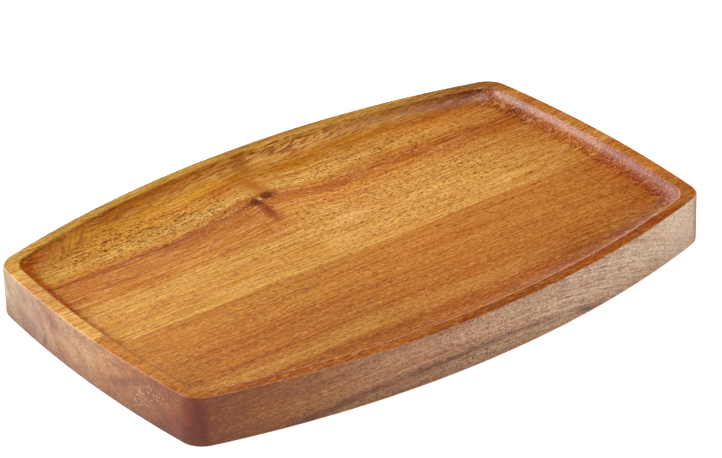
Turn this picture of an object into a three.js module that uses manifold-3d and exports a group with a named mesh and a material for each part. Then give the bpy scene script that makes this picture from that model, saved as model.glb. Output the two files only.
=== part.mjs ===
// Serving board of edge-glued acacia: two staves and the glue film between them, sawn to a barrel
// outline with bowed sides and bowed ends, with a shallow recess routed inside a raised rim.
// Millimetres, +Z up, +X along the length. The origin is on the underside, below the centre.
import * as THREE from "three";
import { mergeVertices } from "three/addons/utils/BufferGeometryUtils.js";
import Module from "manifold-3d";

// Driving dimensions of the blank
const boardLength = 300; // over the bowed ends
const boardWidth = 200; // over the bowed sides
const boardThickness = 25;
const sideBow = 22.8; // how far a long side swells beyond its corners
const endBow = 4.75; // how far a short end swells beyond its corners
const cornerRadius = 12.4;

// Rounded-over edges
const rimEdgeRadius = 1; // outer edge of the rim
const baseEdgeRadius = 1.5; // edge of the underside
const lipRadius = 0.9; // inner edge of the rim, where it turns down into the recess

// Recess, cut by a round-nosed bit
const sideRim = 6.5; // width of the rim along the sides
const endRim = 7; // width of the rim along the ends
const recessDepth = 6.5;
const coveRadius = 9.5; // the bit's radius, left as a cove round the floor
const floorCornerRadius = 3;

// Glue-up
const jointPlace = -9.5; // the joint's distance from the centre line; the rear stave is the wider one
const glueThickness = 0.2;

// Facets along one quarter of the outline, and along each rounded edge
const sideSteps = 20;
const endSteps = 8;
const cornerSteps = 10;
const edgeSteps = 3;
const coveSteps = 8;

const halfLength = boardLength / 2;
const halfWidth = boardWidth / 2;

// Radius of an arc from half its chord and its bow.
const arcRadius = (halfChord, bow) => (halfChord ** 2 + bow ** 2) / (2 * bow);
const sideRadius = arcRadius(halfLength - endBow, sideBow);
const endRadius = arcRadius(halfWidth - sideBow, endBow);
const sideCentre = new THREE.Vector2(0, halfWidth - sideRadius);
const endCentre = new THREE.Vector2(halfLength - endRadius, 0);

// Where two circles cross, on the left of the way from the first centre to the second.
function crossing(centreA, radiusA, centreB, radiusB) {
  const way = centreB.clone().sub(centreA);
  const apart = way.length();
  const along = (radiusA ** 2 - radiusB ** 2 + apart ** 2) / (2 * apart);
  const aside = Math.sqrt(radiusA ** 2 - along ** 2);
  way.normalize();
  const left = new THREE.Vector2(-way.y, way.x);
  return centreA.clone().addScaledVector(way, along).addScaledVector(left, aside);
}

function arcPoints(centre, radius, from, to, steps) {
  return new THREE.EllipseCurve(centre.x, centre.y, radius, radius, from, to).getPoints(steps);
}

// The barrel outline as a closed ring of points at one height, anticlockwise from above. The sides and the
// ends are set in from the blank's own, and meet in a round corner.
function ring(sideInset, endInset, corner, height) {
  const side = sideRadius - sideInset;
  const end = endRadius - endInset;
  const centre = crossing(endCentre, end - corner, sideCentre, side - corner);
  const endAngle = centre.clone().sub(endCentre).angle();
  const sideAngle = centre.clone().sub(sideCentre).angle();
  const quarter = [
    ...arcPoints(endCentre, end, 0, endAngle, endSteps),
    ...arcPoints(centre, corner, endAngle, sideAngle, cornerSteps).slice(1),
    ...arcPoints(sideCentre, side, sideAngle, Math.PI / 2, sideSteps).slice(1),
  ];
  const half = [...quarter, ...quarter.toReversed().slice(1).map((p) => new THREE.Vector2(-p.x, p.y))];
  const whole = [...half, ...half.slice(1, -1).map((p) => new THREE.Vector2(-p.x, -p.y))];
  return whole.map((p) => new THREE.Vector3(p.x, p.y, height));
}

// A ring of the outer face, a distance inside it.
const outerRing = (inset, height) => ring(inset, inset, cornerRadius - inset, height);

// The recess in section: a cove from the floor up, then the lip that rounds over to the rim. Distances run
// outwards from the floor's edge. A recess deeper than the bit's radius has an upright wall above the cove.
const floorHeight = boardThickness - recessDepth;
const coveCentreHeight = floorHeight + coveRadius;
const lipCentreHeight = boardThickness - lipRadius;
const coveRise = Math.min(recessDepth, coveRadius);
const coveWidth = Math.sqrt(coveRadius ** 2 - (coveRadius - coveRise) ** 2);
const lipDrop = Math.max(0, coveCentreHeight - lipCentreHeight);
const lipReach = Math.sqrt((coveRadius + lipRadius) ** 2 - lipDrop ** 2);
const coveEndAngle = Math.atan2(lipReach, lipDrop);

// A ring of the recess, a distance outside its floor.
function recessRing(reach, height) {
  const inset = coveWidth - reach;
  return ring(sideRim + inset, endRim + inset, floorCornerRadius + reach, height);
}

const steps = (count) => Array.from({ length: count + 1 }, (_, i) => i / count);

// Rings over the whole surface, from the underside round the outer face, over the rim and down to the floor.
function surfaceRings() {
  const quarterTurn = Math.PI / 2;
  const base = steps(edgeSteps).map((t) => {
    const turn = t * quarterTurn;
    return outerRing(baseEdgeRadius * (1 - Math.sin(turn)), baseEdgeRadius * (1 - Math.cos(turn)));
  });
  const rimEdge = steps(edgeSteps).map((t) => {
    const turn = t * quarterTurn;
    const height = boardThickness - rimEdgeRadius * (1 - Math.sin(turn));
    return outerRing(rimEdgeRadius * (1 - Math.cos(turn)), height);
  });
  const lip = steps(edgeSteps).map((t) => {
    const turn = t * coveEndAngle;
    return recessRing(lipReach - lipRadius * Math.sin(turn), lipCentreHeight + lipRadius * Math.cos(turn));
  });
  const cove = steps(coveSteps).map((t) => {
    const turn = (1 - t) * coveEndAngle;
    return recessRing(coveRadius * Math.sin(turn), coveCentreHeight - coveRadius * Math.cos(turn));
  });
  const wallStands = lipCentreHeight > coveCentreHeight;
  return [...base, ...rimEdge, ...lip, ...(wallStands ? cove : cove.slice(1))];
}

// A closed surface through rings of equal counts, flat across the first and the last ring.
function loft(rings) {
  const count = rings[0].length;
  const faces = [];
  for (let level = 0; level + 1 < rings.length; level++) {
    for (let i = 0; i < count; i++) {
      const next = (i + 1) % count;
      const [a, b] = [level * count + i, level * count + next];
      faces.push(a, b, b + count, a, b + count, a + count);
    }
  }
  const cap = (points) => THREE.ShapeUtils.triangulateShape(points, []);
  const last = (rings.length - 1) * count;
  for (const [a, b, c] of cap(rings[0])) faces.push(c, b, a);
  for (const [a, b, c] of cap(rings.at(-1))) faces.push(last + a, last + b, last + c);
  return new THREE.BufferGeometry().setFromPoints(rings.flat()).setIndex(faces);
}

const wasm = await Module();
wasm.setup();

function solidOf(geometry) {
  const bare = new THREE.BufferGeometry();
  bare.setAttribute("position", geometry.getAttribute("position"));
  bare.setIndex(geometry.index);
  const merged = mergeVertices(bare);
  const vertProperties = merged.getAttribute("position").array;
  const triVerts = new Uint32Array(merged.index.array);
  return new wasm.Manifold(new wasm.Mesh({ numProp: 3, vertProperties, triVerts }));
}

function geometryOf(solid) {
  const mesh = solid.getMesh();
  const geometry = new THREE.BufferGeometry();
  geometry.setAttribute("position", new THREE.BufferAttribute(mesh.vertProperties, mesh.numProp));
  geometry.setIndex(new THREE.BufferAttribute(mesh.triVerts, 1));
  geometry.computeVertexNormals();
  return geometry;
}

// The slice of the glued-up blank between two planes across its width. The slab that cuts it is twice as long
// and as thick as the blank, so it stands clear on its other sides.
function sliceOf(blank, from, to) {
  const slab = new THREE.BoxGeometry(2 * boardLength, to - from, 2 * boardThickness);
  slab.translate(0, (from + to) / 2, boardThickness / 2);
  return geometryOf(blank.intersect(solidOf(slab)));
}

const goldenAcacia = new THREE.MeshStandardMaterial({ color: 0xd0964a, roughness: 0.45, metalness: 0 });
const russetAcacia = new THREE.MeshStandardMaterial({ color: 0xbd7836, roughness: 0.45, metalness: 0 });
const driedGlue = new THREE.MeshStandardMaterial({ color: 0x8a5224, roughness: 0.6, metalness: 0 });

function piece(name, geometry, material) {
  const mesh = new THREE.Mesh(geometry, material);
  mesh.name = name;
  return mesh;
}

const blank = solidOf(loft(surfaceRings()));
const glueRear = jointPlace + glueThickness / 2;
const glueFront = jointPlace - glueThickness / 2;

const board = new THREE.Group();
board.add(
  piece("rear_stave", sliceOf(blank, glueRear, boardWidth), goldenAcacia),
  piece("front_stave", sliceOf(blank, -boardWidth, glueFront), russetAcacia),
  piece("glue_line", sliceOf(blank, glueFront, glueRear), driedGlue),
);

export default board;
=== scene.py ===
import math

import bmesh
import bpy
from mathutils import Matrix, Vector
from mathutils.geometry import intersect_sphere_sphere_2d


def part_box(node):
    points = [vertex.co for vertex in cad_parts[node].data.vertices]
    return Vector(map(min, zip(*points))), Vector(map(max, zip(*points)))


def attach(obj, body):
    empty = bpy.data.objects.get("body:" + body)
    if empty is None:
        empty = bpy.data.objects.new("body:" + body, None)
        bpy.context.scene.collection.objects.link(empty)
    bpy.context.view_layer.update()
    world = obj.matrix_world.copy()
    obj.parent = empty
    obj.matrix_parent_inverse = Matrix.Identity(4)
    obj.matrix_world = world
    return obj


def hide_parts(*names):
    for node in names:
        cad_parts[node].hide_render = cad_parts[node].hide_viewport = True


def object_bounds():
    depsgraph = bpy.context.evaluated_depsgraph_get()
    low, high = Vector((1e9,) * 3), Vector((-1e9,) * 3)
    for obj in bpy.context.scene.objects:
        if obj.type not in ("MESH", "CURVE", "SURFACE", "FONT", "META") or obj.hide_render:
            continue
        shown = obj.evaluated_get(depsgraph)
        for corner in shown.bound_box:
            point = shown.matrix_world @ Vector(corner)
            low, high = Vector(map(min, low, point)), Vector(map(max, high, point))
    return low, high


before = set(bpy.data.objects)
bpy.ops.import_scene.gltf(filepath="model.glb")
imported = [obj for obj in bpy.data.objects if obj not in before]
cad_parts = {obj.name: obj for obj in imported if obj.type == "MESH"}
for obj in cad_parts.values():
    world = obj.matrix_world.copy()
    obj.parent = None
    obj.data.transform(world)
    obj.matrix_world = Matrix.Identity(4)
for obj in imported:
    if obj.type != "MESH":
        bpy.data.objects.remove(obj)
cad_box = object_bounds()


# The glued-up blank
# Two staves of acacia are glued edge to edge and sawn to a barrel outline, with bowed sides and ends and
# round corners. A round-nosed bit cuts the recess, which leaves a narrow rim with a coved wall inside it, and
# the edges are rounded over by sanding.
mm = 0.001
board_length, board_width, board_thickness = cad_box[1] - cad_box[0]
side_bow = 22.8 * mm
end_bow = 4.75 * mm
corner_radius = 12.4 * mm
rim_edge_radius = 1 * mm
base_edge_radius = 1.5 * mm
lip_edge_setback = 0.8 * mm
side_rim = 6.5 * mm
end_rim = 7 * mm
recess_depth = 6.5 * mm
cove_radius = 9.5 * mm
floor_corner_radius = 3 * mm
floor_height = board_thickness - recess_depth
end_steps, corner_steps, side_steps = 20, 16, 48
edge_steps, cove_steps = 5, 12
smooth_angle = math.radians(40)
hair = 0.001 * mm


def arc_radius(half_chord, bow):
    """Radius of an arc from half its chord and its bow."""
    return (half_chord**2 + bow**2) / (2 * bow)


side_radius = arc_radius(board_length / 2 - end_bow, side_bow)
end_radius = arc_radius(board_width / 2 - side_bow, end_bow)
side_centre = Vector((0, board_width / 2 - side_radius))
end_centre = Vector((board_length / 2 - end_radius, 0))


def arc(centre, radius, start, end, steps):
    """Points along an arc, without its last one."""
    turns = [start + (end - start) * i / steps for i in range(steps)]
    return [centre + radius * Vector((math.cos(turn), math.sin(turn))) for turn in turns]


def barrel(side_inset, end_inset, corner):
    """The barrel outline, set in from the sawn one: points anticlockwise from the middle of the right end."""
    side = side_radius - side_inset
    end = end_radius - end_inset
    crossings = intersect_sphere_sphere_2d(side_centre, side - corner, end_centre, end - corner)
    centre = max(crossings, key=lambda point: point.y)
    end_turn = math.atan2(*(centre - end_centre).yx)
    side_turn = math.atan2(*(centre - side_centre).yx)
    quarter = arc(end_centre, end, 0, end_turn, end_steps)
    quarter += arc(centre, corner, end_turn, side_turn, corner_steps)
    quarter += arc(side_centre, side, side_turn, math.pi / 2, side_steps)
    half = quarter + [Vector((0, board_width / 2 - side_inset))]
    half += [Vector((-point.x, point.y)) for point in quarter[:0:-1]]
    return half + [-point for point in half]


def edited():
    """The mesh that is in edit mode."""
    return bmesh.from_edit_mesh(bpy.context.edit_object.data)


def pick_edges(test):
    """Selects the edges that pass a test, and nothing else."""
    bpy.ops.mesh.select_mode(type="EDGE")
    bpy.ops.mesh.select_all(action="DESELECT")
    for edge in edited().edges:
        edge.select = test(edge)
    edited().select_flush_mode()


def lay_on(outline):
    """Moves the corners of the selected face to the points of an outline, in their order round the centre."""
    face = next(face for face in edited().faces if face.select)
    corners = sorted(face.verts, key=lambda corner: math.atan2(corner.co.y, corner.co.x) % math.tau)
    for corner, point in zip(corners, outline):
        corner.co.xy = point
    bmesh.update_edit_mesh(bpy.context.edit_object.data)


def at_height(edge, height):
    """True for an edge that lies at a height."""
    return all(abs(end.co.z - height) < hair for end in edge.verts)


def on_lip(edge):
    """True for an edge where the flat rim turns down into the recess, by how far its two faces point up."""
    most_for_wall, least_for_rim = 0.9, 0.99
    wall_up, rim_up = sorted(face.normal.z for face in edge.link_faces)
    return at_height(edge, board_thickness) and wall_up < most_for_wall and rim_up > least_for_rim


bpy.ops.object.select_all(action="DESELECT")
sawn = barrel(0, 0, corner_radius)
bpy.ops.mesh.primitive_circle_add(vertices=len(sawn), radius=board_width / 2, fill_type="NGON")
blank = bpy.context.object
bpy.ops.object.mode_set(mode="EDIT")
lay_on(sawn)
bpy.ops.mesh.extrude_region_move(TRANSFORM_OT_translate={"value": (0, 0, board_thickness)})
pick_edges(lambda edge: at_height(edge, 0))
bpy.ops.mesh.bevel(offset=base_edge_radius, segments=edge_steps, profile=0.5)
pick_edges(lambda edge: at_height(edge, board_thickness))
bpy.ops.mesh.bevel(offset=rim_edge_radius, segments=edge_steps, profile=0.5)

# The recess starts as the top face, drawn in by the rim, and follows the bit's round nose down to the floor.
bpy.ops.mesh.select_mode(type="FACE")
bpy.ops.mesh.select_all(action="DESELECT")
top_face = max(edited().faces, key=lambda face: face.calc_center_median().z * len(face.verts))
top_face.select = True
bpy.ops.mesh.inset(thickness=side_rim)
cove_width = math.sqrt(cove_radius**2 - (cove_radius - recess_depth) ** 2)
lay_on(barrel(side_rim, end_rim, floor_corner_radius + cove_width))
wall_turn = math.acos(1 - recess_depth / cove_radius)
for step in range(cove_steps):
    turn = wall_turn * (1 - step / cove_steps)
    next_turn = wall_turn * (1 - (step + 1) / cove_steps)
    inward = cove_radius * (math.sin(turn) - math.sin(next_turn))
    drop = cove_radius * (math.cos(next_turn) - math.cos(turn))
    bpy.ops.mesh.inset(thickness=inward, depth=-drop)
pick_edges(on_lip)
bpy.ops.mesh.bevel(offset=lip_edge_setback, segments=edge_steps, profile=0.5)
bpy.ops.object.mode_set(mode="OBJECT")


def slice_of_blank(name, front, rear):
    """A copy of the blank, cut off at a front and a rear plane across its width and closed there."""
    bpy.ops.object.select_all(action="DESELECT")
    blank.select_set(True)
    bpy.context.view_layer.objects.active = blank
    bpy.ops.object.duplicate()
    piece = bpy.context.object
    piece.name = piece.data.name = name
    bpy.ops.object.mode_set(mode="EDIT")
    for place, keep_rear in ((front, True), (rear, False)):
        bpy.ops.mesh.select_all(action="SELECT")
        bpy.ops.mesh.bisect(
            plane_co=(0, place, 0),
            plane_no=(0, 1, 0),
            use_fill=True,
            clear_inner=keep_rear,
            clear_outer=not keep_rear,
        )
    bpy.ops.object.mode_set(mode="OBJECT")
    bpy.ops.object.shade_smooth_by_angle(angle=smooth_angle)
    bpy.ops.object.modifier_add(type="WEIGHTED_NORMAL")
    piece.modifiers[-1].keep_sharp = True
    bpy.ops.object.modifier_apply(modifier=piece.modifiers[-1].name)
    return piece


# Rear stave
# The wider stave is golden acacia, nearly quarter-sawn, so its bands are narrow. It is planed and glued to
# the front stave. A pin knot lies behind the middle: the fibres swing round it, and a red streak passes it.
glue_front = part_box("glue_line")[0].y
glue_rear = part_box("glue_line")[1].y
rear_stave = slice_of_blank("rear_stave_wood", glue_rear, board_width)
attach(rear_stave, "root")
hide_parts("rear_stave")


def linear(colour):
    """A hex sRGB colour as linear red, green, blue and alpha."""
    channels = [int(colour[i : i + 2], 16) / 255 for i in (1, 3, 5)]
    return [c / 12.92 if c <= 0.04045 else ((c + 0.055) / 1.055) ** 2.4 for c in channels] + [1]


def add(tree, kind, inputs, **settings):
    """Adds a shader node with its settings. An input is a value, or the socket of another node to link."""
    node = tree.nodes.new("ShaderNode" + kind)
    for name, value in settings.items():
        setattr(node, name, value)
    for name, value in inputs.items():
        if isinstance(value, bpy.types.NodeSocket):
            tree.links.new(value, node.inputs[name])
        else:
            node.inputs[name].default_value = value
    return node


def wood(name, ring_lean):
    """A wood material to be filled in. Returns it with the place on the piece, in millimetres from the middle
    of the recess floor, that place's x, y and z, and the distance across the rings, which lean and wander."""
    drift_length, drift_width, wander = 120, 40, 2
    material = bpy.data.materials.new(name)
    material.use_nodes = True
    tree = material.node_tree
    tree.nodes.clear()
    metres = add(tree, "TexCoord", {}).outputs["Object"]
    place = add(tree, "VectorMath", {0: metres, "Scale": 1 / mm}, operation="SCALE").outputs[0]
    floor_to_base = (0, 0, -floor_height / mm)
    place = add(tree, "VectorMath", {0: place, 1: floor_to_base}, operation="ADD").outputs[0]
    parts = add(tree, "SeparateXYZ", {0: place}).outputs
    rings = {0: place, 1: (0, 1, ring_lean)}
    across = add(tree, "VectorMath", rings, operation="DOT_PRODUCT").outputs["Value"]
    cell = {"Vector": place, "Scale": (drift_length, drift_width, drift_width)}
    slow = add(tree, "Mapping", cell, vector_type="TEXTURE").outputs[0]
    drift = add(tree, "TexNoise", {"Vector": slow, "Scale": 1, "Detail": 3}).outputs[0]
    drift = add(tree, "MapRange", {"Value": drift, "To Min": -wander, "To Max": wander}).outputs[0]
    across = add(tree, "Math", {0: across, 1: drift}, operation="ADD").outputs[0]
    return material, place, parts, across


def overlap(tree, masks):
    """Where all of some masks overlap."""
    shared = masks[0]
    for mask in masks[1:]:
        shared = add(tree, "Math", {0: shared, 1: mask}, operation="MULTIPLY").outputs[0]
    return shared


def blend(tree, colour, masks, shade, strength=1, way="MULTIPLY"):
    """Blends a colour with a shade where all of the masks overlap, by a strength."""
    mix = {0: overlap(tree, (*masks, strength)), 6: colour, 7: linear(shade)}
    return add(tree, "Mix", mix, data_type="RGBA", blend_type=way).outputs[2]


def fades(tree, spans):
    """Masks that fade in along a place or a direction: 0 at the start of a span, 1 at its end and beyond."""
    masks = {}
    for name, (value, start, end, way) in spans.items():
        span = {"Value": value, "From Min": start, "From Max": end}
        masks[name] = add(tree, "MapRange", span, interpolation_type=way).outputs[0]
    return masks


def patch(tree, place, centre, size, turn=0, edge=1):
    """1 inside an ellipse, right through the board, fading to 0 at its rim. Edge is the share that fades."""
    right_through = 1000
    ellipse = {"Vector": place, "Location": (*centre, 0), "Scale": (*size, right_through)}
    ellipse["Rotation"] = (0, 0, math.radians(turn))
    from_centre = add(tree, "Mapping", ellipse, vector_type="TEXTURE").outputs[0]
    away = add(tree, "VectorMath", {0: from_centre}, operation="LENGTH").outputs["Value"]
    span = {"Value": away, "From Min": 1, "From Max": 1 - edge}
    return add(tree, "MapRange", span, interpolation_type="SMOOTHSTEP").outputs[0]


def stripe(tree, across, distance, half_width, half_core=0):
    """A stripe at a distance across the rings, 1 along its core and 0 beyond its width."""
    away = add(tree, "Math", {0: across, 1: distance}, operation="SUBTRACT").outputs[0]
    away = add(tree, "Math", {0: away}, operation="ABSOLUTE").outputs[0]
    span = {"Value": away, "From Min": half_width, "From Max": half_core}
    return add(tree, "MapRange", span, interpolation_type="SMOOTHSTEP").outputs[0]


def in_cells(tree, fibres, length, width, turn, shift):
    """The place along the fibres, counted in cells of a length and a width. Each shift gives other cells."""
    cell = {"Vector": fibres, "Location": (0, 0, shift), "Scale": (length, width, width)}
    cell["Rotation"] = (0, 0, math.radians(turn))
    return add(tree, "Mapping", cell, vector_type="TEXTURE").outputs[0]


def streaks(tree, fibres, length, width, between, turn=0, shift=0):
    """Streaks along the fibres: 0 below the first of two levels of a stretched noise, 1 above the second."""
    cells = in_cells(tree, fibres, length, width, turn, shift)
    noise = add(tree, "TexNoise", {"Vector": cells, "Scale": 1, "Detail": 2, "Roughness": 0.6}).outputs[0]
    span = {"Value": noise, "From Min": between[0], "From Max": between[1]}
    return add(tree, "MapRange", span, interpolation_type="SMOOTHSTEP").outputs[0]


def pores(tree, fibres, length, width, reach, turn=0, shift=0):
    """Open pores: a dash in each cell along the fibres, as far as its reach, some deep and some shallow."""
    core_share, shallowest, deepest = 0.4, 0.15, 0.85
    cells = in_cells(tree, fibres, length, width, turn, shift)
    cells = add(tree, "TexVoronoi", {"Vector": cells, "Scale": 1}).outputs
    span = {"Value": cells["Distance"], "From Min": reach, "From Max": reach * core_share}
    dash = add(tree, "MapRange", span, interpolation_type="SMOOTHSTEP").outputs[0]
    draw = add(tree, "SeparateColor", {0: cells["Color"]}).outputs[0]
    span = {"Value": draw, "From Min": shallowest, "From Max": deepest}
    depth = add(tree, "MapRange", span).outputs[0]
    return overlap(tree, (dash, depth))


def bands(tree, across, tones):
    """Colour across the rings. Tones pairs distances from the centre line in millimetres with colours."""
    first, last = tones[0][0], tones[-1][0]
    share = add(tree, "MapRange", {"Value": across, "From Min": first, "From Max": last}).outputs[0]
    ramp = add(tree, "ValToRGB", {0: share})
    ramp.color_ramp.interpolation = "EASE"
    stops = ramp.color_ramp.elements
    for i, (distance, tone) in enumerate(tones):
        position = (distance - first) / (last - first)
        stop = stops[i] if i < 2 else stops.new(position)
        stop.position = position
        stop.color = linear(tone)
    return ramp.outputs[0]


def faces_of(tree, place, parts):
    """Masks of the board's faces, from where a point lies and the way that the surface faces there."""
    facing = add(tree, "TexCoord", {}).outputs["Normal"]
    ways = add(tree, "SeparateXYZ", {0: facing}).outputs
    to_shares = (2 * mm / board_length, 2 * mm / board_width, 0)
    out = add(tree, "VectorMath", {0: place, 1: to_shares}, operation="MULTIPLY").outputs[0]
    outward = add(tree, "VectorMath", {0: facing, 1: out}, operation="DOT_PRODUCT").outputs["Value"]
    # From -1 at the front left corner to 1 at the back right one
    diagonal = {0: out, 1: (0.5, 0.5, 0)}
    from_corner = add(tree, "VectorMath", diagonal, operation="DOT_PRODUCT").outputs["Value"]
    cut_fibres = add(tree, "Math", {0: ways["X"]}, operation="ABSOLUTE").outputs[0]
    rim_height = recess_depth / mm
    base_height = -floor_height / mm
    masks = fades(tree, {
        "outside": (outward, 0.35, 0.85, "SMOOTHSTEP"),
        "ends": (cut_fibres, 0.05, 0.7, "SMOOTHSTEP"),
        "slight ends": (cut_fibres, 0.01, 0.28, "LINEAR"),
        "to front": (ways["Y"], -0.1, -0.5, "SMOOTHSTEP"),
        "to back": (ways["Y"], 0, 0.12, "LINEAR"),
        "to right": (ways["X"], 0.02, 0.3, "LINEAR"),
        "high": (parts["Z"], rim_height - 1.5, rim_height - 0.5, "LINEAR"),
        "below rim": (parts["Z"], rim_height - 0.02, rim_height - 0.5, "LINEAR"),
        "low": (parts["Z"], -6, base_height, "LINEAR"),
        "more to right": (parts["X"], -140, 140, "LINEAR"),
        "away from front left corner": (from_corner, -0.8, 0.05, "LINEAR"),
    })
    outside = masks["outside"]
    inside = add(tree, "Math", {0: 1, 1: outside}, operation="SUBTRACT").outputs[0]
    recess = overlap(tree, (inside, masks["below rim"]))
    outer_ends = overlap(tree, (masks["ends"], outside))
    near_front_left_corner = add(tree, "Math", {0: 1, 1: masks["away from front left corner"]}, operation="SUBTRACT").outputs[0]
    less_on_ends = add(tree, "MapRange", {"Value": masks["ends"], "To Min": 1, "To Max": 0.6}).outputs[0]
    return {
        "outside": outside,
        "inside": inside,
        "recess": recess,
        "rim": overlap(tree, (masks["high"], inside)),
        "low": overlap(tree, (masks["low"], outside)),
        # Walls of the recess
        "back cove": overlap(tree, (masks["to front"], inside)),
        "front cove": overlap(tree, (masks["to back"], inside)),
        "left cove": overlap(tree, (masks["to right"], recess)),
        # Fibres cut across, in the coves and on the outside, and what those outer ends leave
        "inner ends": overlap(tree, (masks["slight ends"], recess, masks["more to right"])),
        "outer ends": outer_ends,
        "grain": add(tree, "Math", {0: 1, 1: outer_ends}, operation="SUBTRACT").outputs[0],
        # Outside with a painted sheen, more of it away from the front left corner, and outside round that
        # corner with painted shade
        "painted sheen": overlap(tree, (masks["away from front left corner"], outside, less_on_ends)),
        "painted shade by corner": overlap(tree, (near_front_left_corner, outside)),
    }


def end_figure(tree, colour, faces, place, parts):
    """The cut fibres. On the outer ends: stains, painted shade by the front corner, clouds, fine grain and
    clusters of pale flecks. In the coves at the ends: bright grit. Real flecks and grit are finer, and are
    drawn about 1 mm long to show."""
    to_front = add(tree, "Math", {0: parts["Y"], 1: -1}, operation="MULTIPLY").outputs[0]
    plane = add(tree, "CombineXYZ", {"X": to_front, "Y": parts["Z"], "Z": parts["X"]}).outputs[0]
    ends = faces["outer ends"]
    # Each stain's centre and half size in millimetres, its turn in degrees, its shade and strength
    stains_and_corner_shade = [
        ((-25, 0), (9, 8), -60, "#c4a0ac", 0.7),
        ((-34, -13), (3.5, 7), -15, "#947468", 0.7),
        ((-20, -11), (8, 6), -40, "#e0c088", 0.6),
        ((16, -11), (16, 6), 0, "#e8bc70", 0.4),
        ((-58, -6), (45, 30), 0, "#f0ffff", 0.95),
        ((31, -4), (24, 4), 21, "#b48c78", 0.7),
        # The last one darkens the ends by the front corner: painted shade, not a stain.
        ((76, -6), (20, 26), 0, "#d08c58", 0.9),
    ]
    for centre, size, turn, shade, strength in stains_and_corner_shade:
        stain = patch(tree, plane, centre, size, turn)
        colour = blend(tree, colour, (stain, ends), shade, strength)
    clouds = streaks(tree, plane, length=9, width=5, between=(0.35, 0.65), turn=-30)
    colour = blend(tree, colour, (clouds, ends), "#c8acac", 0.6)
    fine = streaks(tree, plane, length=2, width=0.9, between=(0.38, 0.62), turn=-30, shift=40)
    colour = blend(tree, colour, (fine, ends), "#c8a490", 0.6)
    flecks = pores(tree, plane, length=1.2, width=0.8, reach=0.44, shift=80)
    # Each cluster's centre, half size and turn
    clusters = [
        ((-5, 0), (16, 5.5), -22),
        ((19, 1.5), (15, 5), 0),
        ((50, -2), (26, 7), 14),
        ((42, -11), (10, 6), 20),
    ]
    for centre, size, turn in clusters:
        cluster = patch(tree, plane, centre, size, turn)
        colour = blend(tree, colour, (flecks, ends, cluster), "#ecd0a4", 0.65, way="MIX")
    grit = pores(tree, place, length=1.3, width=1, reach=0.5, shift=60)
    return blend(tree, colour, (grit, faces["inner ends"]), "#d89448", 0.4, way="MIX")


def oiled(tree, colour, dashes, duller):
    """The finish of oiled wood: a satin sheen, a little duller in the pores, which dip in. Duller pairs masks
    with what their faces add to the roughness."""
    wood_roughness, pore_roughness, oil_ior = 0.26, 0.3, 1.4
    pore_depth = 0.2 * mm
    span = {"Value": dashes, "To Min": wood_roughness, "To Max": pore_roughness}
    roughness = add(tree, "MapRange", span).outputs[0]
    for mask, more in duller:
        rougher = {0: mask, 1: more, 2: roughness}
        roughness = add(tree, "Math", rougher, operation="MULTIPLY_ADD").outputs[0]
    dip = {"Strength": 0.1, "Distance": pore_depth, "Height": dashes}
    dipped = add(tree, "Bump", dip, invert=True).outputs[0]
    finish = {"Base Color": colour, "Roughness": roughness, "IOR": oil_ior, "Normal": dipped}
    surface = add(tree, "BsdfPrincipled", finish).outputs[0]
    add(tree, "OutputMaterial", {"Surface": surface})


# Oiled golden acacia, sanded and wiped with oil: a satin sheen over bands from straw to toffee, broken up by
# dark pores. A real pore is about 0.2 mm wide and would not show, so pores and streaks are drawn about 1 mm
# wide.
pale, straw, honey, amber = "#d1a353", "#ca994a", "#c88f3e", "#c08030"
toffee, bark, syrup = "#b87530", "#c0882a", "#b0741a"
caramel, ochre = "#d09440", "#d89c34"
golden_acacia, place, parts, across = wood("oiled golden acacia", ring_lean=0.35)
tree = golden_acacia.node_tree
faces = faces_of(tree, place, parts)
zones = fades(tree, {
    "past knot": (parts["X"], -18, -8, "SMOOTHSTEP"),
    "left half": (parts["X"], 20, -40, "SMOOTHSTEP"),
    "right end": (parts["X"], 80, 136, "SMOOTHSTEP"),
    "left of end": (parts["X"], 90, 40, "LINEAR"),
    "back": (parts["Y"], 60, 76, "LINEAR"),
    "upper": (parts["Z"], 1.5, 5, "LINEAR"),
})

# The fibres rise to the knot along the left half, ever more steeply, and sink again soon after it.
knot_x, knot_y, knot_half_length = -10, 59.5, 4
rise_start, rise_power = -140, 4
sink_end, swing_at_knot, swing_after = 24, 9.5, 3
span = {"Value": parts["X"], "From Min": rise_start, "From Max": knot_x - knot_half_length}
rise = add(tree, "MapRange", span).outputs[0]
rise = add(tree, "Math", {0: rise, 1: rise_power}, operation="POWER").outputs[0]
span = {"Value": parts["X"], "From Min": knot_x + knot_half_length, "From Max": sink_end}
span |= {"To Min": swing_at_knot, "To Max": swing_after}
sink = add(tree, "MapRange", span, interpolation_type="SMOOTHSTEP").outputs[0]
near_knot = patch(tree, place, centre=(knot_x, knot_y), size=(400, 55))
swing = overlap(tree, (rise, sink, near_knot))
across = add(tree, "Math", {0: across, 1: swing}, operation="SUBTRACT").outputs[0]
fibres = add(tree, "CombineXYZ", {"X": parts["X"], "Y": across, "Z": parts["Z"]}).outputs[0]

left_tones = [(-12, straw), (8, honey), (18, straw), (30, amber), (40, toffee), (49, toffee)]
left_tones += [(52, amber), (60, pale), (72, caramel), (84, ochre), (100, ochre)]
right_tones = [(-12, straw), (0, pale), (14, pale), (30, straw), (38, honey), (43, amber), (48, toffee)]
right_tones += [(53, honey), (59, pale), (68, straw), (75, syrup), (85, syrup), (94, bark), (100, bark)]
mix = {0: zones["past knot"], 6: bands(tree, across, left_tones), 7: bands(tree, across, right_tones)}
colour = add(tree, "Mix", mix, data_type="RGBA").outputs[2]

# A thin red line runs up to the knot along the upper edge of the red streak.
red_line = stripe(tree, across, distance=50, half_width=1.8)
before_knot = add(tree, "Math", {0: 1, 1: zones["past knot"]}, operation="SUBTRACT").outputs[0]
colour = blend(tree, colour, (red_line, before_knot, faces["inside"]), "#964c18", 0.85, way="MIX")

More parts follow.
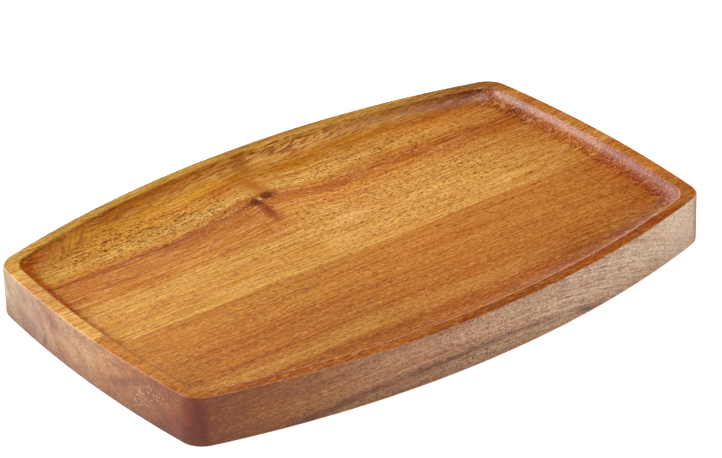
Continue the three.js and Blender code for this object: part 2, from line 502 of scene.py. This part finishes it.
# The rim is paler, and yellower at the back. The right end is browner, and the left cove more orange.
colour = blend(tree, colour, (faces["rim"],), "#d0a65c", 0.4, way="MIX")
# Painted shade: the inside of the left half is a little darker.
colour = blend(tree, colour, (zones["left half"], faces["inside"]), "#f4f9f5")
back_rim = overlap(tree, (zones["back"], faces["rim"]))
colour = blend(tree, colour, (back_rim,), "#e0e0b0")
colour = blend(tree, colour, (back_rim, zones["left of end"]), "#f2f4c8", 0.9)
colour = blend(tree, colour, (zones["right end"], faces["inside"]), "#d4ac80", 0.7)
colour = blend(tree, colour, (faces["inner ends"],), "#c4a064")
back_right = patch(tree, place, centre=(141, 54), size=(14, 32))
colour = blend(tree, colour, (back_right, faces["recess"]), "#e8e4e4", 0.8)
left_feet = [((-138, 46), (14, 24), "#d48418"), ((-141, 8), (16, 24), "#e8ac48")]
for centre, size, shade in left_feet:
    left_foot = patch(tree, place, centre, size)
    colour = blend(tree, colour, (left_foot, faces["recess"]), shade, 0.5, way="MIX")
span = {"Value": parts["Y"], "From Min": -10, "From Max": 42, "To Min": 0.35}
more_to_back = add(tree, "MapRange", span).outputs[0]
colour = blend(tree, colour, (faces["left cove"], more_to_back), "#f4b03c")

# The outside is painted pale away from the front left corner, a painted sheen, has grey cut fibres on the
# ends, and is darker towards the bottom, a painted shade.
colour = blend(tree, colour, (faces["painted sheen"],), "#e0cba4", way="MIX")
colour = blend(tree, colour, (faces["outer ends"],), "#bdb9cd")
colour = blend(tree, colour, (faces["low"],), "#c4b0a0", 0.9)

# Streaks and pores run along the fibres everywhere but on the outer ends.
broad = streaks(tree, fibres, length=160, width=7, between=(0.42, 0.7))
colour = blend(tree, colour, (broad, faces["grain"]), "#d8ac84", 0.35)
lines = streaks(tree, fibres, length=40, width=1, between=(0.4, 0.66))
colour = blend(tree, colour, (lines, faces["grain"]), "#cf9c66", 0.7)
glow = streaks(tree, fibres, length=16, width=1.1, between=(0.5, 0.68), shift=40)
colour = blend(tree, colour, (glow, faces["grain"]), "#e9bf80", 0.25, way="MIX")
speckle = streaks(tree, fibres, length=1.8, width=1, between=(0.42, 0.62), shift=80)
colour = blend(tree, colour, (speckle, faces["grain"]), "#c08c58", 0.45)
dashes = pores(tree, fibres, length=5, width=1.3, reach=0.45)
colour = blend(tree, colour, (dashes, faces["grain"]), "#a0622a", 0.6)

# The back right corner is more golden, and past the knot the red streak breaks up into short lines.
back_corner = patch(tree, place, centre=(105, 71), size=(50, 14))
colour = blend(tree, colour, (back_corner,), "#f0c880", 0.75)
red_lines = streaks(tree, fibres, length=18, width=1.4, between=(0.45, 0.62), shift=120)
red_zone = patch(tree, fibres, centre=(70, 49), size=(130, 8))
colour = blend(tree, colour, (red_lines, red_zone), "#b86428", 0.6)

# The pores are short and dense like pepper on both sides of the knot, with longer cuts behind it on the left.
pepper = pores(tree, fibres, length=2.2, width=1.3, reach=0.52, shift=30)
left_pepper = patch(tree, place, centre=(-75, 66), size=(90, 19), edge=0.8)
colour = blend(tree, colour, (pepper, left_pepper), "#7c4414")
fine_pepper = pores(tree, fibres, length=1.9, width=1.1, reach=0.52, shift=200)
by_knot = patch(tree, place, centre=(-62, 64), size=(85, 22), edge=0.6)
colour = blend(tree, colour, (fine_pepper, by_knot), "#98601c", 0.9)
right_pepper = patch(tree, place, centre=(50, 62), size=(130, 24))
colour = blend(tree, colour, (pepper, right_pepper), "#884c16")
cuts = pores(tree, fibres, length=8, width=1.8, reach=0.48, shift=150)
cut_zone = patch(tree, place, centre=(-75, 72), size=(70, 13))
colour = blend(tree, colour, (cuts, cut_zone), "#784818", 0.9)

# On the right half, towards the joint, they lie at a slant round a pale spot.
slant_turn = 12
slant = pores(tree, fibres, length=2.6, width=1.2, reach=0.55, turn=slant_turn, shift=60)
slant_zone = patch(tree, place, centre=(50, 24), size=(115, 46), edge=0.7)
colour = blend(tree, colour, (slant, slant_zone), "#a8622a", 0.9, way="MIX")
colour = blend(tree, colour, (fine_pepper, slant_zone), "#a46c2c", 0.8)
deep = pores(tree, fibres, length=5, width=2, reach=0.32, turn=slant_turn, shift=90)
colour = blend(tree, colour, (deep, slant_zone), "#84501c", 0.8)
pale_spot = patch(tree, place, centre=(14, 19), size=(20, 9))
colour = blend(tree, colour, (pale_spot,), "#e2b878", 0.25, way="MIX")

# The back cove cuts the bands at a slope, which shows as bright and dark ripples.
glaze = streaks(tree, fibres, length=14, width=1, between=(0.45, 0.6), turn=slant_turn, shift=160)
pale_strip = patch(tree, place, centre=(20, 89), size=(75, 8))
colour = blend(tree, colour, (glaze, pale_strip), "#dcb074", 0.35, way="MIX")
cove_middle = patch(tree, place, centre=(20, 88), size=(115, 60))
rippled = overlap(tree, (faces["back cove"], cove_middle))
colour = blend(tree, colour, (rippled,), "#e4a440", 0.4, way="MIX")
gleam = streaks(tree, fibres, length=30, width=1, between=(0.5, 0.6), turn=slant_turn, shift=300)
colour = blend(tree, colour, (gleam, rippled), "#e8b468", 0.55, way="MIX")
ripple = streaks(tree, fibres, length=30, width=0.8, between=(0.48, 0.58), turn=slant_turn, shift=240)
colour = blend(tree, colour, (ripple, rippled), "#7c360a", 0.9, way="MIX")

# The lip of the back cove is browner before the knot, and the bit has left a hatched spot near the corner.
lip_by_knot = patch(tree, place, centre=(-45, 85), size=(60, 60), edge=0.7)
colour = blend(tree, colour, (lip_by_knot, faces["back cove"], zones["upper"]), "#ecd0ba")
behind_knot = patch(tree, place, centre=(-20, 80), size=(16, 12))
colour = blend(tree, colour, (behind_knot,), "#ecd8c8")
flat = add(tree, "CombineXYZ", {"X": parts["X"], "Y": parts["Y"]}).outputs[0]
hatch = streaks(tree, flat, length=10, width=1.1, between=(0.42, 0.62), turn=42, shift=20)
hatched = patch(tree, place, centre=(-104, 76), size=(22, 10), turn=14, edge=0.7)
hatched = overlap(tree, (hatched, faces["back cove"]))
colour = blend(tree, colour, (hatched,), "#e8ac48", 0.35, way="MIX")
colour = blend(tree, colour, (hatch, hatched), "#a0682c", 0.55)

# The knot's two flecks with ragged edges, the smears that run down and up from them, the stain on the cove
# behind, and the pale wood between the flecks.
fleck, smear, stain = "#5c2206", "#7c380c", "#985414"
# Each mark's centre, half size and turn, its shade and strength, and the share of its radius that fades
knot_marks = [
    ((-12, 41), (6, 16), -10, stain, 0.4, 1),
    ((-5.5, 72), (8, 17), 8, stain, 0.9, 1),
    ((0, 89), (8, 10), -8, stain, 0.8, 1),
    ((-14, 48.5), (4.6, 16), -11, smear, 1, 0.8),
    ((-14, 58.5), (5.5, 5), 0, fleck, 0.95, 0.7),
    ((-6.6, 60.8), (8.5, 5), 10, fleck, 0.95, 0.7),
]
ragged_reach = 9
ragged = add(tree, "TexNoise", {"Vector": place, "Scale": 0.8, "Detail": 4}).outputs["Color"]
moved = {0: ragged, 1: (ragged_reach, ragged_reach, 0), 2: place}
ragged = add(tree, "VectorMath", moved, operation="MULTIPLY_ADD").outputs[0]
mean_move = ragged_reach / 2
for (mark_x, mark_y), size, turn, shade, strength, edge in knot_marks:
    mark = patch(tree, ragged, (mark_x + mean_move, mark_y + mean_move), size, turn, edge)
    colour = blend(tree, colour, (mark,), shade, strength, way="MIX")
between_flecks = patch(tree, place, centre=(-10.6, 60), size=(2, 3))
colour = blend(tree, colour, (between_flecks,), "#e0a458", 0.7, way="MIX")
colour = end_figure(tree, colour, faces, place, parts)

outside_dulls, ends_dull = 0.28, 0.1
oiled(tree, colour, dashes, [(faces["outside"], outside_dulls), (faces["inner ends"], ends_dull)])
rear_stave.data.materials.append(golden_acacia)


# Front stave
# The narrower stave is brown acacia, nearly flat-sawn, planed and glued to the rear stave. Its rings lean, so
# a band on the floor comes out as a low arch on the bowed side and as a slope on the ends.
front_stave = slice_of_blank("front_stave_wood", -board_width, glue_front)
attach(front_stave, "root")
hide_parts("front_stave")

# Oiled russet acacia, sanded and wiped with oil: broad, quiet brown bands with long dark dashes under a satin
# sheen, and a duller, peppered outside. Its pores and streaks are drawn as coarse as the rear stave's.
copper, tan, cinnamon = "#b57832", "#b27d3c", "#ae702e"
chestnut, mahogany, olive = "#a8692a", "#9c5c26", "#ae7838"
russet_acacia, place, parts, across = wood("oiled russet acacia", ring_lean=1.25)
tree = russet_acacia.node_tree
faces = faces_of(tree, place, parts)
side = overlap(tree, (faces["outside"], faces["grain"]))
zones = fades(tree, {
    "left half": (parts["X"], 20, -40, "SMOOTHSTEP"),
    "right end": (parts["X"], 100, 136, "SMOOTHSTEP"),
    "from middle": (parts["X"], -60, 40, "LINEAR"),
    "front": (parts["Y"], -60, -76, "LINEAR"),
})

# On the front side the rings dip towards the right, by the square of the distance.
dip_per_square = 0.0013
right_way = add(tree, "Math", {0: parts["X"], 1: 0}, operation="MAXIMUM").outputs[0]
dip = add(tree, "Math", {0: right_way, 1: 2}, operation="POWER").outputs[0]
dip = overlap(tree, (dip, faces["outside"]))
dipped = {0: dip, 1: dip_per_square, 2: across}
across = add(tree, "Math", dipped, operation="MULTIPLY_ADD").outputs[0]
fibres = add(tree, "CombineXYZ", {"X": parts["X"], "Y": across, "Z": parts["Z"]}).outputs[0]
sheets = add(tree, "CombineXYZ", {"X": parts["X"], "Y": across}).outputs[0]

tones = [(-125, chestnut), (-117, olive), (-112.5, olive), (-108.5, copper), (-98, copper)]
tones += [(-90, chestnut), (-84, chestnut), (-76, mahogany), (-67, tan), (-57, chestnut), (-48, cinnamon)]
tones += [(-42, cinnamon), (-30, copper), (-10, copper)]
colour = bands(tree, across, tones)

# The right end is browner, and the rim paler.
# Painted shade: the inside of the left half is a little darker.
colour = blend(tree, colour, (zones["left half"], faces["inside"]), "#f4f9f5")
colour = blend(tree, colour, (zones["right end"], faces["recess"]), "#d4a478", 0.45)
front_right = patch(tree, place, centre=(95, -68), size=(80, 12))
colour = blend(tree, colour, (front_right,), "#d0a078", 0.65)
colour = blend(tree, colour, (zones["front"], faces["rim"]), "#dcb068", 0.62)
colour = blend(tree, colour, (faces["inner ends"],), "#c08c4c")
front_middle = patch(tree, place, centre=(15, -96), size=(65, 12))
colour = blend(tree, colour, (front_middle, faces["rim"]), "#dcdcd4", 0.9)

# A painted sheen greys the wood along the foot of the front cove, which follows the bow of the side, and the
# wood is orange along the foot of the left one.
foot_inset = 16
half_chord = (board_length / 2 - end_bow) / mm
bow_per_square = side_bow / mm / half_chord**2
squared = add(tree, "Math", {0: parts["X"], 1: parts["X"]}, operation="MULTIPLY").outputs[0]
unbent = {0: squared, 1: -bow_per_square, 2: parts["Y"]}
from_side = add(tree, "Math", unbent, operation="MULTIPLY_ADD").outputs[0]
foot_place = foot_inset - board_width / 2 / mm
foot = stripe(tree, from_side, distance=foot_place, half_width=6, half_core=1)
colour = blend(tree, colour, (foot, zones["from middle"], faces["recess"]), "#805e5a", 0.3, way="MIX")
left_foot = patch(tree, place, centre=(-141, -33), size=(16, 50))
colour = blend(tree, colour, (left_foot, faces["recess"]), "#e0a050", 0.62, way="MIX")

# The outside is painted darker round the front left corner, a painted shade, and paler farther off, a painted
# sheen.
colour = blend(tree, colour, (faces["outer ends"],), "#b69b6a")
colour = blend(tree, colour, (faces["painted shade by corner"],), "#ece8ec")
colour = blend(tree, colour, (faces["painted sheen"],), "#f6e8d0", way="MIX")
colour = blend(tree, colour, (faces["outer ends"],), "#fdeabc")
# Painted shade: the end and the side are darker still right at the front left corner.
end_by_corner = patch(tree, place, centre=(-146, -74), size=(30, 36))
colour = blend(tree, colour, (end_by_corner, faces["outer ends"]), "#94500a", 0.3, way="MIX")
corner = patch(tree, place, centre=(-141, -77), size=(15, 15))
colour = blend(tree, colour, (corner, faces["outside"]), "#843e00", 0.65, way="MIX")
# Painted shade: darker towards the bottom.
colour = blend(tree, colour, (faces["low"],), "#d0c4b8")

# One dark ring shows as a broken arch on the front side.
arch = stripe(tree, across, distance=-111, half_width=3.2)
broken = streaks(tree, place, length=40, width=20, between=(0.2, 0.5), shift=20)
colour = blend(tree, colour, (arch, broken, faces["outside"]), "#a06c68", 0.7)

# Streaks and pores run along the fibres everywhere but on the outer ends.
broad = streaks(tree, fibres, length=180, width=7, between=(0.42, 0.7))
colour = blend(tree, colour, (broad, faces["grain"]), "#d8ac88", 0.4)
lines = streaks(tree, sheets, length=60, width=1.3, between=(0.42, 0.66))
colour = blend(tree, colour, (lines, faces["grain"]), "#d4a47c", 0.6)
speckle = streaks(tree, place, length=1.8, width=1, between=(0.42, 0.62), shift=40)
colour = blend(tree, colour, (speckle, faces["grain"]), "#c4946c", 0.55)
glow = streaks(tree, fibres, length=4, width=1.1, between=(0.52, 0.7), shift=80)
colour = blend(tree, colour, (glow, faces["grain"]), "#d89a58", 0.3, way="MIX")
dashes = pores(tree, fibres, length=5.5, width=1.3, reach=0.42)
colour = blend(tree, colour, (dashes, faces["grain"]), "#8c5028", 0.6)

# The front side is peppered, most of all in the middle, has dashes to the right and a painted highlight at
# its end.
fine_dots = pores(tree, place, length=1.2, width=0.8, reach=0.52, shift=30)
colour = blend(tree, colour, (fine_dots, side), "#a07464", 0.7)
coarse_dots = pores(tree, place, length=1.7, width=0.9, reach=0.46, shift=50)
side_middle = patch(tree, place, centre=(-8, -98), size=(44, 60), edge=0.8)
colour = blend(tree, colour, (coarse_dots, side, side_middle), "#7c5044")
side_dashes = pores(tree, sheets, length=12, width=0.75, reach=0.55, shift=90)
side_right = patch(tree, place, centre=(66, -94), size=(60, 60), edge=0.7)
colour = blend(tree, colour, (side_dashes, side, side_right), "#84483c", 0.85)
# Painted highlight: the end of the front side is paler.
side_end = patch(tree, place, centre=(142, -84), size=(40, 40))
colour = blend(tree, colour, (side_end, side), "#f0e8dc", 0.35, way="MIX")
colour = end_figure(tree, colour, faces, place, parts)

front_cove_dulls = 0.2
duller = [(faces["outside"], outside_dulls), (faces["inner ends"], ends_dull)]
duller += [(faces["front cove"], front_cove_dulls)]
oiled(tree, colour, dashes, duller)
front_stave.data.materials.append(russet_acacia)


# Glue line
# The film of wood glue that holds the staves together has dried between their planed edges. It is worked down
# with the blank, so it has the blank's section and is flush with the wood on every face.
glue_line = slice_of_blank("glue_line_film", glue_front, glue_rear)
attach(glue_line, "root")
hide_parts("glue_line")

# Dried wood glue, sanded flush: a thin brown line, lighter and darker by turns, duller than the oiled wood.
thin_glue, thick_glue = "#94592a", "#704020"
blotches_per_metre = 60  # about 17 mm apart
glue = bpy.data.materials.new("dried wood glue")
glue.use_nodes = True
tree = glue.node_tree
tree.nodes.clear()
place = add(tree, "TexCoord", {}).outputs["Object"]
blotches = add(tree, "TexNoise", {"Vector": place, "Scale": blotches_per_metre, "Detail": 2}).outputs[0]
mix = {0: blotches, 6: linear(thin_glue), 7: linear(thick_glue)}
film = add(tree, "Mix", mix, data_type="RGBA").outputs[2]
surface = add(tree, "BsdfPrincipled", {"Base Color": film, "Roughness": 0.5}).outputs[0]
add(tree, "OutputMaterial", {"Surface": surface})
glue_line.data.materials.append(glue)
bpy.data.objects.remove(blank)


# Studio floor
# A plain sheet of lit white acrylic lies under the board. It stands a hair above the underside, so that a
# view from below shows the underside and not a mixture of the two.
studio_span = 8
studio_lift = 0.02 * mm
bpy.ops.object.select_all(action="DESELECT")
bpy.ops.mesh.primitive_plane_add(size=studio_span, location=(0, 0, studio_lift))
studio_floor = bpy.context.object
studio_floor.name = "studio_floor"

# Lit white acrylic, frosted: an even white glow with no reflections.
acrylic = bpy.data.materials.new("lit white acrylic")
acrylic.use_nodes = True
sheet = acrylic.node_tree.nodes["Principled BSDF"].inputs
sheet["Base Color"].default_value = linear("#bcbcbc")
sheet["Roughness"].default_value = 0.9
sheet["Specular IOR Level"].default_value = 0
sheet["Emission Color"].default_value = linear("#ffffff")
sheet["Emission Strength"].default_value = 0.83
studio_floor.data.materials.append(acrylic)


# Studio light
# A large soft box overhead lights the top. A smaller one behind on the left lights the left end and gives the
# sheen in the cove opposite, and a wide, low backdrop far behind gives the sheen along the front cove. One
# below the acrylic lights the underside alone.
world = bpy.data.worlds.new("studio")
bpy.context.scene.world = world
world.use_nodes = True
surroundings = world.node_tree.nodes["Background"].inputs
surroundings["Color"].default_value = linear("#ffffff")
surroundings["Strength"].default_value = 0.02


def soft_box(name, direction, distance, size, power):
    """An area light at a distance from the board, facing it."""
    way = Vector(direction).normalized()
    lamp = bpy.data.lights.new(name, "AREA")
    lamp.shape = "RECTANGLE"
    lamp.size, lamp.size_y = size
    lamp.energy = power
    box = bpy.data.objects.new(name, lamp)
    bpy.context.scene.collection.objects.link(box)
    box.location = way * distance
    box.rotation_euler = way.to_track_quat("Z", "Y").to_euler()


soft_box("rear_left", direction=(-0.857, 0.515, 0.47), distance=1.2, size=(1.2, 0.5), power=23)
soft_box("overhead", direction=(-0.04, -0.3, 1), distance=1.5, size=(1.1, 1.1), power=23.6)
soft_box("backdrop", direction=(0.044, 1, 0.14), distance=4, size=(4.65, 1), power=150)
soft_box("below", direction=(0.2, -0.3, -1), distance=1.5, size=(1, 1), power=25)


# Camera
# The photograph's view: from the front left, through a long lens, with a slight roll. The outline and the rim
# were fitted to it.
azimuth, elevation, roll = math.radians(-36.545), math.radians(29.005), math.radians(1.588)
camera_distance = 1675.7 * mm
aim_right, aim_up = 2.52 * mm, 21.008 * mm
photo_width, focal_pixels = 722, 3610.1
sensor_width = 36
level = math.cos(elevation)
back = Vector((math.sin(azimuth) * level, -math.cos(azimuth) * level, math.sin(elevation)))
turned = back.to_track_quat("Z", "Y").to_matrix().to_4x4() @ Matrix.Rotation(-roll, 4, "Z")
lens = bpy.data.cameras.new("camera")
lens.sensor_width = sensor_width
lens.lens = focal_pixels / photo_width * sensor_width
camera = bpy.data.objects.new("camera", lens)
bpy.context.scene.collection.objects.link(camera)
stand = turned @ Vector((aim_right, aim_up, camera_distance))
camera.matrix_world = Matrix.Translation(stand) @ turned
bpy.context.scene.camera = camera
bpy.context.scene.view_settings.view_transform = "Standard"
